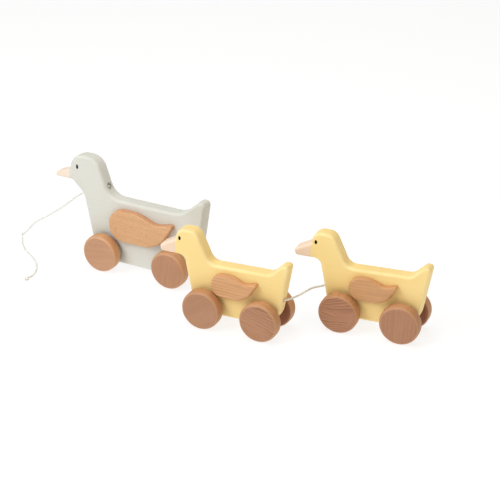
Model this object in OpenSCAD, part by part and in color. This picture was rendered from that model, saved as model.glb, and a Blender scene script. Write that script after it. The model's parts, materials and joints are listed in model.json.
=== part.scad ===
// Pull-along duck: a mother duck on wheels that tows a train of ducklings on short cords.
// Each duck is a wooden board cut to the bird's outline, with glued-on wings.
// It rolls on wooden wheels that are glued to dowel axles.
// Millimetres, +Z up. The ducks look towards -X, and their left sides face -Y.

/* [Wheels] */
// Diameter of every wheel
wheel_d = 39; // [34:0.5:44]
// Width of a wheel
wheel_w = 13.5; // [11:0.5:17]
// Rounding of a wheel's edges
wheel_edge_r = 3.8; // [0.5:0.1:5]
// Wood left at the outer face of a wheel, over its axle hole
wheel_wall = 4; // [2:0.5:6]
// Diameter of the axle dowels
axle_d = 8; // [5:0.5:9]
// Running gap between a wheel and the board
wheel_gap = 2.5; // [1:0.1:4]
// Radial clearance of an axle in its board
axle_clearance = 0.08; // [0.02:0.01:0.1]

/* [Boards] */
// Thickness of the boards that the ducks are cut from
board_t = 15; // [12:0.5:20]
// Rounding of the boards' edges
board_edge_r = 3; // [1:0.1:4]
// Radial glue gap of a dowel or a plug in its hole
glue_gap = 0.05; // [0.02:0.01:0.1]

/* [Mother] */
// Distance between the mother's axles
mother_wheelbase = 80.6; // [74:0.2:88]
// Depth of the mother's underside below her axles
mother_keel = 12.8; // [8:0.2:13.6]
// Height of the mother's back above her axles
mother_back_h = 56.6; // [52:0.2:61]
// Height of the mother's head above her axles
mother_head_h = 96.2; // [90:0.2:104]
// Breast, ahead of the middle of the wheelbase, at the underside
mother_breast = 53.4; // [48:0.2:58]
// Face, ahead of the middle of the wheelbase
mother_face = 82.4; // [77:0.2:88]
// Length of the mother's beak
mother_beak_l = 18.6; // [12:0.2:25]
// Foot of the neck's back edge, ahead of the middle of the wheelbase
mother_nape = 35.6; // [30:0.2:41]
// Length of the mother's head along its top
mother_head_w = 32.8; // [28:0.2:36]
// Stern, behind the middle of the wheelbase, at the underside
mother_stern = 62.4; // [57:0.2:68]
// Overhang of the mother's tail behind her stern
mother_tail_l = 13.4; // [9:0.2:18]
// Height of the mother's tail above her axles
mother_tail_h = 73.2; // [68:0.2:79]
// Length of the mother's tail along its top
mother_tail_w = 8; // [6:0.2:11]

/* [Ducklings] */
// Distance between a duckling's axles
duckling_wheelbase = 59.8; // [56:0.2:66]
// Depth of a duckling's underside below its axles
duckling_keel = 9.2; // [7:0.2:11]
// Height of a duckling's back above its axles
duckling_back_h = 42.6; // [38:0.2:47]
// Height of a duckling's head above its axles
duckling_head_h = 73.4; // [68:0.2:80]
// Breast, ahead of the middle of the wheelbase, at the underside
duckling_breast = 43.2; // [40:0.2:48]
// Face, ahead of the middle of the wheelbase
duckling_face = 62.6; // [58:0.2:68]
// Length of a duckling's beak
duckling_beak_l = 17; // [11:0.2:22]
// Foot of the neck's back edge, ahead of the middle of the wheelbase
duckling_nape = 27.2; // [22:0.2:31]
// Length of a duckling's head along its top
duckling_head_w = 21.2; // [18:0.2:25]
// Stern, behind the middle of the wheelbase, at the underside
duckling_stern = 42; // [40:0.2:47]
// Overhang of a duckling's tail behind its stern
duckling_tail_l = 12; // [9:0.2:15]
// Height of a duckling's tail above its axles
duckling_tail_h = 55.6; // [52:0.2:60]
// Length of a duckling's tail along its top
duckling_tail_w = 7; // [5:0.2:9]

/* [Wings] */
// Thickness of a wing
wing_t = 7; // [5:0.5:10]
// Rounding of a wing's outer edge
wing_edge_r = 2; // [0.5:0.1:3]
// Length of the mother's wings
mother_wing_l = 76.6; // [68:0.2:82]
// Height of the mother's wings
mother_wing_h = 34; // [30:0.5:38]
// Front end of the mother's wings, ahead of the middle of the wheelbase
mother_wing_front = 32.8; // [28:0.2:36]
// Gap between the mother's wings and her front wheels, seen from the side
mother_wing_gap = 3.9; // [2:0.1:7]
// Length of a duckling's wings
duckling_wing_l = 48; // [42:0.5:52]
// Height of a duckling's wings
duckling_wing_h = 23; // [20:0.5:26]
// Front end of a duckling's wings, ahead of the middle of the wheelbase
duckling_wing_front = 22.6; // [20:0.2:25]
// Gap between a duckling's wings and its front wheels, seen from the side
duckling_wing_gap = 0.7; // [0.5:0.1:4]
// Diameter of the dowels that hold the wings
wing_dowel_d = 6; // [4:0.5:8]
// Wood left at the outer face of a wing, over its dowel holes
wing_wall = 3; // [1.5:0.5:3.5]

/* [Eyes] */
// Width of an eye
eye_w = 2.6; // [1.5:0.1:4]
// Height of an eye
eye_h = 4.2; // [2:0.1:6]
// Thickness of an eye
eye_t = 0.4; // [0.2:0.1:1]

/* [Cords] */
// Diameter of the cords
cord_d = 2; // [1.6:0.1:2.6]
// Radial clearance of a cord in its hole
cord_clearance = 0.3; // [0.1:0.1:0.6]
// Diameter of the knots at the cords' fixed ends
knot_d = 6; // [5:0.1:7]
// Radial room around a knot in its hole
knot_room = 0.8; // [0.3:0.1:1.2]
// Depth of the pull cord's knot hole in the neck
neck_hole_l = 6; // [4:0.5:9]
// Length of the plugs that close the tow cords' knot holes
plug_l = 6; // [4:0.5:9]
// Height of the tow cords above the floor
tow_h = 37.5; // [35:0.5:41]
// Diameter of the knot at the pull cord's free end
end_knot_d = 5; // [4:0.1:6]

/* [Train] */
// First duckling, behind the mother
duckling_1_x = 140.2; // [136:0.2:148]
// First duckling across the train, where negative is to the mother's left
duckling_1_y = -55.3; // [-60:0.1:-50]
// First duckling's heading against the mother's
duckling_1_yaw = 3.7; // [0:0.1:8]
// Second duckling, behind the mother
duckling_2_x = 255.2; // [250:0.2:262]
// Second duckling across the train, where negative is to the mother's left
duckling_2_y = 1.8; // [-2:0.1:8]
// Second duckling's heading against the mother's
duckling_2_yaw = 6.8; // [0:0.1:10]

/* [Hidden] */
$fn = 64;
// Largest turn between two points of a rounded corner, in degrees
arc_step = 12;
// Share of a side that its two roundings may take
arc_share = 0.94;
// Share of a corner's rounding that an edge rounding may take there
edge_share = 0.85;
// Steps in a rounded edge
edge_steps = 4;
// How far a cut runs past the face that it opens
past = 1;
// Height of the axles
axle_h = wheel_d / 2;
// Distance of a wheel's inner face from the board's middle plane
wheel_y = board_t / 2 + wheel_gap;
// Depth of the blind holes in wheels and wings
wheel_hole_l = wheel_w - wheel_wall;
wing_hole_l = wing_t - wing_wall;
// Holes for the knots at the cords' fixed ends
knot_hole_d = knot_d + 2 * knot_room;
// Depth of a plug below the board's edge
plug_recess = 0.2;
// Rim left around the round mouth where a tow cord swings in its plug
mouth_rim = 1.7;
// Gap between a swinging cord and the fixed stub that it hangs on
swing_gap = 0.3;
// Height of the pull cord's knot hole above the mother's back
neck_hole_rise = 10.4;

// Corners of a duck's outline that other pieces are placed by
BREAST = 0;
THROAT = 1;
BROW = 5;
CROWN = 7;
TAIL = 11;

// Outline corners as [ahead of mid-wheelbase, above the axles, rounding], counter-clockwise with the nose
// to the right.
// throat, chin, brow: [behind the face, below the top of the head, rounding]
// beak: [how far its lower corner lies back, how far its upper corner lies below the top of the head]
// crown: [how far the forehead leans back, rounding]; rump: [behind mid-wheelbase, above the back, rounding]
function duck_corners(keel, breast, keel_r, face, head_h, head_w, throat, chin, beak_l, beak, beak_r, brow,
                      crown, nape, nape_r, back_h, rump, tail_l, tail_h, tail_w, tail_r, stern, stern_r) = [
    [breast, -keel, keel_r],
    [face - throat.x, head_h - throat.y, throat.z],
    [face - chin.x, head_h - chin.y, chin.z],
    [face + beak_l - beak.x, head_h - chin.y, beak_r],
    [face + beak_l, head_h - beak.y, beak_r],
    [face - brow.x, head_h - brow.y, brow.z],
    [face - crown.x, head_h, crown.y],
    [face - head_w, head_h, crown.y],
    [nape, back_h, nape_r],
    [-rump.x, back_h + rump.y, rump.z],
    [-stern - tail_l + tail_w, tail_h, tail_r],
    [-stern - tail_l, tail_h, tail_r],
    [-stern, -keel, stern_r],
];

mother_corners = duck_corners(
    keel = mother_keel, breast = mother_breast, keel_r = 14, face = mother_face, head_h = mother_head_h,
    head_w = mother_head_w, throat = [15.8, 41.2, 14], chin = [2.4, 28, 3], beak_l = mother_beak_l,
    beak = [1.8, 24], beak_r = 3.4, brow = [0, 16.8, 2.5], crown = [2.4, 17], nape = mother_nape,
    nape_r = 18, back_h = mother_back_h, rump = [48, -0.2, 21], tail_l = mother_tail_l,
    tail_h = mother_tail_h, tail_w = mother_tail_w, tail_r = 5, stern = mother_stern, stern_r = 26);

duckling_corners = duck_corners(
    keel = duckling_keel, breast = duckling_breast, keel_r = 12, face = duckling_face,
    head_h = duckling_head_h, head_w = duckling_head_w, throat = [8.8, 27, 8], chin = [2, 26.8, 3],
    beak_l = duckling_beak_l, beak = [1, 20.4], beak_r = 3.4, brow = [0, 11.4, 2.5], crown = [1, 11],
    nape = duckling_nape, nape_r = 11, back_h = duckling_back_h, rump = [35.2, 1.6, 12],
    tail_l = duckling_tail_l, tail_h = duckling_tail_h, tail_w = duckling_tail_w, tail_r = 3.6,
    stern = duckling_stern, stern_r = 24);

// A wing's outline corners, in shares of its length and height, with the rounding in shares of its height
wing_nose = 0.5;
wing_tip = 0.07;
wing_shape = [
    [1, 0, wing_nose], [1, 1, wing_nose], [0.58, 1, 0.6], [0.29, 0.76, 0.5], [0, 0.9, wing_tip],
    [0.2, 0.2, 0.8], [0.42, 0, 0.6],
];

function heading(a, b) = atan2(b.y - a.y, b.x - a.x);
function corner(c, i) = c[(i + len(c)) % len(c)];
function side(c, i) = norm([corner(c, i + 1).x - corner(c, i).x, corner(c, i + 1).y - corner(c, i).y]);
function turn(c, i) =
    let (t = heading(corner(c, i), corner(c, i + 1)) - heading(corner(c, i - 1), corner(c, i)))
    t - 360 * round(t / 360);
function setback(c, i) = corner(c, i).z * tan(abs(turn(c, i)) / 2);
// Share of a corner's rounding that its two sides have room for
function room(c, i) = min(1, side(c, i - 1) / (setback(c, i - 1) + setback(c, i)),
                          side(c, i) / (setback(c, i) + setback(c, i + 1)));
// Points of the rounded outline as [ahead, up, heading, rounding]; an inward corner has a negative rounding
function rounded(c) = [
    for (i = [0 : len(c) - 1])
        let (r = corner(c, i).z * room(c, i) * arc_share)
        let (t = turn(c, i))
        let (h = heading(corner(c, i - 1), corner(c, i)))
        let (back = r * tan(abs(t) / 2))
        let (start = [corner(c, i).x - back * cos(h), corner(c, i).y - back * sin(h)])
        let (middle = start + sign(t) * r * [-sin(h), cos(h)])
        let (steps = max(1, ceil(abs(t) / arc_step)))
        for (k = [0 : steps])
            let (a = h + t * k / steps)
            [middle.x + sign(t) * r * sin(a), middle.y - sign(t) * r * cos(a), a, sign(t) * r],
];
// Place along an outline's side, from corner i to the next one, at a height
function side_at(c, i, h) =
    let (a = corner(c, i))
    let (b = corner(c, i + 1))
    a.x + (b.x - a.x) * (h - a.y) / (b.y - a.y);

mother_outline = rounded(mother_corners);
duckling_outline = rounded(duckling_corners);

// Sections of a plate across its thickness as [inset, y]
function quarter(r) = [
    for (k = [0 : edge_steps]) [r * (1 - cos(90 * k / edge_steps)), r * sin(90 * k / edge_steps)],
];
function board_sections(t, r) = concat(
    [for (k = [edge_steps : -1 : 0]) [quarter(r)[k].x, -t / 2 + r - quarter(r)[k].y]],
    [for (q = quarter(r)) [q.x, t / 2 - r + q.y]]);
function wing_sections(t, r) = concat([[0, 0]], [for (q = quarter(r)) [q.x, t - r + q.y]]);
// An inset at an outline's point: the largest one shrinks to what an outward corner has room for
function inset_at(p, inset, largest) = p[3] < 0 ? inset : inset * min(1, edge_share * p[3] / largest);
function plate_points(outline, sections) =
    let (largest = max([for (q = sections) q.x]))
    [
        for (q = sections)
            for (p = outline)
                let (inset = inset_at(p, q.x, largest))
                [-p.x + inset * sin(p.z), q.y, p.y + inset * cos(p.z)],
    ];

// Twice the area of a triangle, positive where its corners turn to the left
function turning(a, b, c) = (b.x - a.x) * (c.y - a.y) - (b.y - a.y) * (c.x - a.x);
function covers(a, b, c, p) = turning(a, b, p) > 0 && turning(b, c, p) > 0 && turning(c, a, p) > 0;
// Whether the triangle at place i of the points that are left lies inside the outline and can be cut off
function is_ear(points, left, i) =
    let (a = points[corner(left, i - 1)])
    let (b = points[corner(left, i)])
    let (c = points[corner(left, i + 1)])
    turning(a, b, c) > 0 && len([for (k = left) if (covers(a, b, c, points[k])) k]) == 0;
function next_ear(points, left, i) = is_ear(points, left, i) ? i % len(left) : next_ear(points, left, i + 1);
// Triangles that fill a counter-clockwise outline, cut off one by one from the place start on
function triangles(points, left, start = 0) =
    len(left) == 3 ? [left] :
    let (i = next_ear(points, left, start))
    concat(
        [[corner(left, i - 1), left[i], corner(left, i + 1)]],
        triangles(points, [for (k = [0 : len(left) - 1]) if (k != i) left[k]], i + 1));
function filled(points) = triangles(points, [for (i = [0 : len(points) - 1]) i]);

// Walls between m rings of n points each, from the first ring to the last
function ring_walls(n, m) = [
    for (k = [0 : m - 2])
        for (i = [0 : n - 1])
            let (a = k * n + i)
            let (b = k * n + (i + 1) % n)
            each [[b, a, a + n], [b, a + n, b + n]],
];
// Faces that close the first and the last of m rings of n points each, turned outwards
function ring_caps(n, m, first, last) =
    concat(first, [for (f = last) [for (k = [len(f) - 1 : -1 : 0]) (m - 1) * n + f[k]]]);

// A plate of this outline, with the nose towards -X, through these sections
module plate(outline, sections) {
    n = len(outline);
    m = len(sections);
    points = plate_points(outline, sections);
    caps = [for (k = [0, m - 1]) filled([for (i = [0 : n - 1]) [-points[k * n + i].x, points[k * n + i].z]])];
    polyhedron(points = points, faces = concat(ring_walls(n, m), ring_caps(n, m, caps[0], caps[1])));
}

// Lower edge of the wings above the axles, from the gap between a wing's round nose and the front wheel
function wing_rise(wheelbase, front, h, gap) =
    let (nose_r = h * wing_nose)
    let (reach = wheel_d / 2 + gap + nose_r)
    let (ahead = wheelbase / 2 - front + nose_r)
    sqrt(reach * reach - ahead * ahead) - nose_r;
mother_wing_rise = wing_rise(mother_wheelbase, mother_wing_front, mother_wing_h, mother_wing_gap);
duckling_wing_rise = wing_rise(duckling_wheelbase, duckling_wing_front, duckling_wing_h, duckling_wing_gap);
function wing_outline(at, l, h) =
    rounded([for (c = wing_shape) [at.x - l * (1 - c.x), at.y + h * c.y, h * c.z]]);

// Each duck's own values: mother, first duckling, second duckling
DUCKS = ["mother", "duckling_1", "duckling_2"];
place = [
    [0, 0, 0],
    [duckling_1_x, duckling_1_y, duckling_1_yaw],
    [duckling_2_x, duckling_2_y, duckling_2_yaw],
];
wheelbase = [mother_wheelbase, duckling_wheelbase, duckling_wheelbase];
corners = [mother_corners, duckling_corners, duckling_corners];
outline = [mother_outline, duckling_outline, duckling_outline];
mother_wing_at = [mother_wing_front, mother_wing_rise];
duckling_wing_at = [duckling_wing_front, duckling_wing_rise];
wing_at = [mother_wing_at, duckling_wing_at, duckling_wing_at];
wing_l = [mother_wing_l, duckling_wing_l, duckling_wing_l];
wing_h = [mother_wing_h, duckling_wing_h, duckling_wing_h];
// Eyes, as [behind the face, below the top of the head]
mother_eye = [9.8, 12.4];
duckling_eye = [4.9, 9.6];
eye_at = [mother_eye, duckling_eye, duckling_eye];
face = [mother_face, duckling_face, duckling_face];
head_h = [mother_head_h, duckling_head_h, duckling_head_h];
paint = ["#dedcd0", "#f8d995", "#f8d995"];
beak_colour = "#f5d9cb";
wing_colour = "#d9a878";
wheel_colour = "#bd8a6b";
dowel_colour = "#dcbb8d";
eye_colour = "#17130f";
cord_colour = "#eeeadf";

// Wing dowels, in shares of a wing's length and height
wing_dowels_at = [[0.74, 0.46], [0.44, 0.42]];
function dowel_place(d, k) = [
    wing_at[d].x - wing_l[d] * (1 - wing_dowels_at[k].x), wing_at[d].y + wing_h[d] * wing_dowels_at[k].y,
];

// A duck's own point, from the middle of its wheelbase, in the train's frame
function from_duck(d, p) =
    let (a = place[d].z)
    [place[d].x + p.x * cos(a) - p.y * sin(a), place[d].y + p.x * sin(a) + p.y * cos(a), axle_h + p.z];

// Furthest reach of the ducks along a level direction, for the middle of the train
function wheel_reach(d, n) =
    let (along = abs(n * [cos(place[d].z), sin(place[d].z)]))
    let (across = abs(n * [-sin(place[d].z), cos(place[d].z)]))
    n * [place[d].x, place[d].y] + along * (wheelbase[d] / 2 + wheel_d / 2 - wheel_edge_r)
        + across * (wheel_y + wheel_w - wheel_edge_r) + wheel_edge_r;
function board_reach(d, n) = max([
    for (p = plate_points(outline[d], board_sections(board_t, board_edge_r)))
        n * [from_duck(d, p).x, from_duck(d, p).y],
]);
function reach(n) = max([for (d = [0 : 2]) max(wheel_reach(d, n), board_reach(d, n))]);
train_middle = [(reach([1, 0]) - reach([-1, 0])) / 2, (reach([0, 1]) - reach([0, -1])) / 2, 0];

// Tow cord ends, as [x, height] in a duck's own frame, where a cord swings in its plug
tow_rise = tow_h - axle_h;
function breast_end(d) = [-side_at(corners[d], BREAST, tow_rise) + plug_recess, tow_rise];
function stern_end(d) = [-side_at(corners[d], TAIL, tow_rise) - plug_recess, tow_rise];
function tow_pivot(d, end) = from_duck(d, [end.x, 0, end.y]);
tow_pivots = [
    tow_pivot(0, stern_end(0)), tow_pivot(1, breast_end(1)),
    tow_pivot(1, stern_end(1)), tow_pivot(2, breast_end(2)),
];

// Ends of the pull cord's hole through the neck, as [x, height] in the mother's own frame
throat_end = [-mother_corners[THROAT].x, mother_corners[THROAT].y];
neck_end = [
    -side_at(mother_corners, CROWN, mother_back_h + neck_hole_rise), mother_back_h + neck_hole_rise,
];
neck_hole_slope = atan2(throat_end.y - neck_end.y, throat_end.x - neck_end.x);

// Height of the pull cord's middle, and of its end knot's middle, where they lie on the floor
floor_gap = 0.1;
low = cord_d / 2 + floor_gap;
knot_low = end_knot_d / 2 + floor_gap;

// Cord routes in the train's frame, from the free cord's first point to its last
pull_route = [
    from_duck(0, [throat_end.x, 0, throat_end.y]),
    [-71.2, 0, 72.4], [-77.1, 0.7, 68.6], [-83, 2.1, 64.2], [-88.9, 3.5, 59.4], [-94.8, 4.9, 54.5],
    [-100.7, 6.2, 49.7], [-106.6, 7.5, 45.1], [-112.5, 8.6, 40.7], [-118.4, 9.7, 36.4],
    [-124.3, 10.8, 32.2], [-130.2, 11.9, 28.1], [-136.1, 13, 24.1], [-142, 14.1, 20.2],
    [-147.9, 15.1, 15.8], [-152.3, 15.8, 11.5], [-155.7, 16.2, 7.6], [-158.3, 16, 4.6],
    [-160.3, 14.6, 2.6], [-161.5, 12.4, 1.6], [-161.3, 9.8, low], [-159.9, 7.4, low], [-156.7, 3.6, low],
    [-153.5, -0.6, low], [-149.7, -5.4, low], [-145.3, -10.4, low], [-140.5, -15.2, low],
    [-135.1, -19.6, low], [-129.1, -23.6, low], [-122.9, -27.2, low], [-117.1, -31, low],
    [-111.7, -35.2, low], [-106.7, -40, low], [-102.3, -45.2, low], [-98.5, -51, low], [-95.5, -57.2, low],
    [-93.5, -63.2, low], [-92.5, -68.2, 1.8], [-92.2, -72.6, knot_low], [-92.2, -79.6, knot_low],
];
tow_route_1 = [
    tow_pivots[0],
    [70.5, -4.5, 37.2], [73.6, -10, 36.6], [75.8, -16.7, 36], [77.5, -23.8, 35.6], [79.1, -30.9, 35.6],
    [80.9, -37.9, 36], [83.2, -44.8, 36.5], [86.4, -51.5, 37.1],
    tow_pivots[1],
];
tow_route_2 = [
    tow_pivots[2],
    [189.4, -48.6, 37.3], [191.6, -42.3, 36.9], [193.2, -35.8, 36.5], [194.3, -29.4, 36.2],
    [195.2, -22.6, 36.1], [196.8, -16.4, 36.2], [199.8, -11.6, 36.5], [203.6, -8, 36.9],
    tow_pivots[3],
];
// Middle of the knot on the pull cord's free end
end_knot_at = [-92.2, -75.6, knot_low];

cord_sides = 8;
function unit(v) = v / norm(v);
function tangent(route, i) =
    let (before = i > 0 ? unit(route[i] - route[i - 1]) : [0, 0, 0])
    let (after = i < len(route) - 1 ? unit(route[i + 1] - route[i]) : [0, 0, 0])
    unit(before + after);
function cord_ring(at, dir, r) =
    let (level = unit(cross(dir, [0, 0, 1])))
    let (up = cross(level, dir))
    [
        for (k = [0 : cord_sides - 1])
            let (a = 360 * k / cord_sides)
            at + r * (level * cos(a) + up * sin(a)),
    ];

// A cord swept along the points of its route
module cord(route) {
    m = len(route);
    points = [for (i = [0 : m - 1]) each cord_ring(route[i], tangent(route, i), cord_d / 2)];
    cap = [[for (k = [0 : cord_sides - 1]) k]];
    color(cord_colour)
        polyhedron(
            points = points,
            faces = concat(ring_walls(cord_sides, m), ring_caps(cord_sides, m, cap, cap)));
}

module on_train() {
    translate(-train_middle)
        children();
}

// A duck's own frame, with its origin in the middle of its wheelbase at axle height
module on_duck(d) {
    on_train()
        translate([place[d].x, place[d].y, axle_h])
            rotate(place[d].z)
                children();
}

// A rod along Y through the board's middle plane
module cross_rod(at, r, l) {
    translate([-at.x, l / 2, at.y])
        rotate([90, 0, 0])
            cylinder(r = r, h = l);
}

module board(d) {
    plate(outline[d], board_sections(board_t, board_edge_r));
}

// The space ahead of the face and below the brow, where the beak is
module beak_space(d) {
    brow = corners[d][BROW];
    tip = max([for (c = corners[d]) c.x]) + past;
    translate([-tip, -board_t / 2 - past, 0])
        cube([tip - brow.x, board_t + 2 * past, brow.y + brow.z]);
}

// Blind hole for a tow cord's knot and plug; way is +1 towards the tail and -1 towards the beak
module tow_hole(end, way) {
    depth = plug_l + knot_d + 2 * glue_gap;
    translate([end.x - way * depth, 0, end.y])
        rotate([0, way * 90, 0])
            cylinder(d = knot_hole_d, h = depth + plug_l);
}

module tow_knot(end, way) {
    color(cord_colour)
        translate([end.x, 0, end.y])
            rotate([0, way * 90, 0])
                union() {
                    translate([0, 0, -plug_l - knot_d / 2 - glue_gap])
                        sphere(d = knot_d);
                    translate([0, 0, -plug_l - knot_d / 2])
                        cylinder(d = cord_d, h = plug_l + knot_d / 2 - cord_d / 2 - swing_gap);
                }
}

module tow_plug(d, end, way) {
    plug_d = knot_hole_d - 2 * glue_gap;
    color(paint[d])
        translate([end.x, 0, end.y])
            rotate([0, way * 90, 0])
                difference() {
                    translate([0, 0, -plug_l])
                        cylinder(d = plug_d, h = plug_l);
                    translate([0, 0, -plug_l - past])
                        cylinder(r = cord_d / 2 + cord_clearance, h = plug_l + 2 * past);
                    sphere(r = plug_d / 2 - mouth_rim);
                }
}

// Frame of the pull cord's hole: origin at the neck's back edge, +Z towards the throat
module on_neck_hole() {
    translate([neck_end.x, 0, neck_end.y])
        rotate([0, 90 - neck_hole_slope, 0])
            children();
}

module neck_hole() {
    l = norm(throat_end - neck_end);
    on_neck_hole()
        union() {
            translate([0, 0, -neck_hole_l])
                cylinder(r = cord_d / 2 + cord_clearance, h = l + 2 * neck_hole_l);
            translate([0, 0, -neck_hole_l])
                cylinder(d = knot_hole_d, h = 2 * neck_hole_l);
        }
}

module beakless_board(d) {
    difference() {
        board(d);
        beak_space(d);
    }
}

module body(d) {
    color(paint[d])
        difference() {
            beakless_board(d);
            for (end = [-1, 1])
                cross_rod([end * wheelbase[d] / 2, 0], axle_d / 2 + axle_clearance, board_t + 2 * past);
            for (k = [0, 1])
                cross_rod(dowel_place(d, k), wing_dowel_d / 2 + glue_gap, board_t + 2 * past);
            if (d == 0)
                neck_hole();
            if (d > 0)
                tow_hole(breast_end(d), -1);
            if (d < 2)
                tow_hole(stern_end(d), 1);
        }
}

module beak(d) {
    color(beak_colour)
        intersection() {
            board(d);
            beak_space(d);
        }
}

module eyes(d) {
    oval = [for (a = [0 : 15 : 345]) [eye_w / 2 * cos(a), eye_h / 2 * sin(a)]];
    color(eye_colour)
        for (way = [-1, 1])
            translate([eye_at[d].x - face[d], way * (board_t + eye_t) / 2, head_h[d] - eye_at[d].y])
                rotate([90, 0, 0])
                    linear_extrude(eye_t, center = true)
                        polygon(oval);
}

// way is -1 for the duck's left side and +1 for its right side
module wing(d, way) {
    outline = wing_outline(wing_at[d], wing_l[d], wing_h[d]);
    color(wing_colour)
        mirror([0, way < 0 ? 1 : 0, 0])
            difference() {
                translate([0, board_t / 2, 0])
                    plate(outline, wing_sections(wing_t, wing_edge_r));
                for (k = [0, 1])
                    cross_rod(dowel_place(d, k), wing_dowel_d / 2 + glue_gap, board_t + 2 * wing_hole_l);
            }
}

module wing_dowels(d) {
    color(dowel_colour)
        for (k = [0, 1])
            cross_rod(dowel_place(d, k), wing_dowel_d / 2, board_t + 2 * (wing_hole_l - glue_gap));
}

// end is +1 for the front axle and -1 for the rear one
module axle(d, end) {
    color(dowel_colour)
        cross_rod([end * wheelbase[d] / 2, 0], axle_d / 2, 2 * (wheel_y + wheel_hole_l - glue_gap));
}

module wheel_section() {
    square([wheel_d / 2 - wheel_edge_r, wheel_w]);
    translate([0, wheel_edge_r])
        square([wheel_d / 2, wheel_w - 2 * wheel_edge_r]);
    for (y = [wheel_edge_r, wheel_w - wheel_edge_r])
        translate([wheel_d / 2 - wheel_edge_r, y])
            circle(wheel_edge_r);
}

module wheel(d, end, way) {
    color(wheel_colour)
        translate([-end * wheelbase[d] / 2, way * wheel_y, 0])
            rotate([-way * 90, 0, 0])
                difference() {
                    rotate_extrude()
                        wheel_section();
                    translate([0, 0, -past])
                        cylinder(r = axle_d / 2 + glue_gap, h = wheel_hole_l + past);
                }
}

module pull_cord_knot() {
    l = norm(throat_end - neck_end);
    color(cord_colour)
        on_neck_hole()
            union() {
                translate([0, 0, neck_hole_l - knot_d / 2 - glue_gap])
                    sphere(d = knot_d);
                translate([0, 0, neck_hole_l - knot_d / 2])
                    cylinder(d = cord_d, h = l - neck_hole_l + knot_d / 2 - glue_gap);
            }
}

module pull_cord_end_knot() {
    color(cord_colour)
        difference() {
            translate(end_knot_at)
                sphere(d = end_knot_d);
            translate(end_knot_at + [0, end_knot_d, 0])
                rotate([90, 0, 0])
                    cylinder(r = cord_d / 2 + glue_gap, h = 2 * end_knot_d);
        }
}

module duck_piece(d, piece) {
    if (piece == "body") body(d);
    if (piece == "beak") beak(d);
    if (piece == "eyes") eyes(d);
    if (piece == "wing_left") wing(d, -1);
    if (piece == "wing_right") wing(d, 1);
    if (piece == "wing_dowels") wing_dowels(d);
    if (piece == "front_axle") axle(d, 1);
    if (piece == "rear_axle") axle(d, -1);
    if (piece == "front_left_wheel") wheel(d, 1, -1);
    if (piece == "front_right_wheel") wheel(d, 1, 1);
    if (piece == "rear_left_wheel") wheel(d, -1, -1);
    if (piece == "rear_right_wheel") wheel(d, -1, 1);
}

PIECES = [
    "body", "beak", "eyes", "wing_left", "wing_right", "wing_dowels", "front_axle", "rear_axle",
    "front_left_wheel", "front_right_wheel", "rear_left_wheel", "rear_right_wheel",
];
// Tow cord ends as [duck, name, way]
TOW_ENDS = [
    [0, "mother_stern", 1], [1, "duckling_1_breast", -1],
    [1, "duckling_1_stern", 1], [2, "duckling_2_breast", -1],
];

for (d = [0 : 2])
    for (p = PIECES)
        on_duck(d) duck_piece(d, p);
for (e = TOW_ENDS) {
    end = e[2] > 0 ? stern_end(e[0]) : breast_end(e[0]);
    on_duck(e[0]) tow_knot(end, e[2]);
    on_duck(e[0]) tow_plug(e[0], end, e[2]);
}
on_train() cord(pull_route);  // pull_cord
on_duck(0) pull_cord_knot();
on_train() pull_cord_end_knot();
on_train() cord(tow_route_1);  // tow_cord_1
on_train() cord(tow_route_2);  // tow_cord_2
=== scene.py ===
"""The looks of a wooden pull-along mother duck and her two ducklings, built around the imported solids."""

import json
import math

import bmesh
import bpy
from mathutils import Matrix, Vector


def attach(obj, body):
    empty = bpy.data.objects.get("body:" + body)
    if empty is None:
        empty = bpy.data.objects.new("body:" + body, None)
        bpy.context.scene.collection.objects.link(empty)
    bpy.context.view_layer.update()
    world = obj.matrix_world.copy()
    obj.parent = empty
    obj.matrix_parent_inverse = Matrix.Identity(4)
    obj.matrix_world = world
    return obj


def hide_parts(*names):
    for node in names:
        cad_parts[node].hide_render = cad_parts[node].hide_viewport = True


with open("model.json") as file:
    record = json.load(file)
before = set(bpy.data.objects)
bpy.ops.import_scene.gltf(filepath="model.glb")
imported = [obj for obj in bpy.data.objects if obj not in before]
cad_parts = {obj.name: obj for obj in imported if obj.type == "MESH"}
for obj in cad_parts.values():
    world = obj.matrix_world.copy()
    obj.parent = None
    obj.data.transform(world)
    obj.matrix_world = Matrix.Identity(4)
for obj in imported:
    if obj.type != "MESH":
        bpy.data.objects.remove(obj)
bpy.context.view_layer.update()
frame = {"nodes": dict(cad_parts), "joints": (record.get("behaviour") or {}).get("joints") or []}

scene = bpy.context.scene
MM = 0.001
UP = Vector((0, 0, 1))
RIGHT_ANGLE = math.radians(90)

# Camera at the photograph's viewing angle, in millimetres from the floor under the mother's middle
CAMERA_AT = Vector((783.1, -1193.1, 700))
CAMERA_TARGET = Vector((68.39, 96.33, 0))
CAMERA_LENS = 112.37
SENSOR_WIDTH = 36
CLIP_END_M = 50

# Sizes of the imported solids, in millimetres
BOARD_T = 15
BOARD_EDGE = 3
ARC_SHARE = 0.94
EDGE_SHARE = 0.85
WING_T = 7
WING_EDGE = 2
WING_HOLE = 4
WING_DOWELS = ((0.74, 0.46), (0.44, 0.42))
DOWEL_HOLE_R = 3.05
AXLE_HOLE_R = 4.08
WHEEL_R = 19.5
WHEEL_W = 13.5
WHEEL_EDGE = 3.8
WHEEL_HOLE = 9.5
WHEEL_HOLE_R = 4.05
WHEEL_GAP = 2.5
EYE_T = 0.4
CORD_D = 2
CORD_HOLE_R = 1.3
KNOT_D = 6
KNOT_HOLE_R = 3.8
NECK_HOLE = 6
PLUG_L = 6
END_KNOT_D = 5
SWING_GAP = 0.3
GLUE_GAP = 0.05

# Form of the twisted cord and its knots
STRANDS = 3
STRAND_LAY = 5.2
GROOVE_DEPTH = 0.16
KNOT_CORD_R = 0.95
KNOT_SLACK = 0.1
KNOT_OPENING = 0.2

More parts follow.
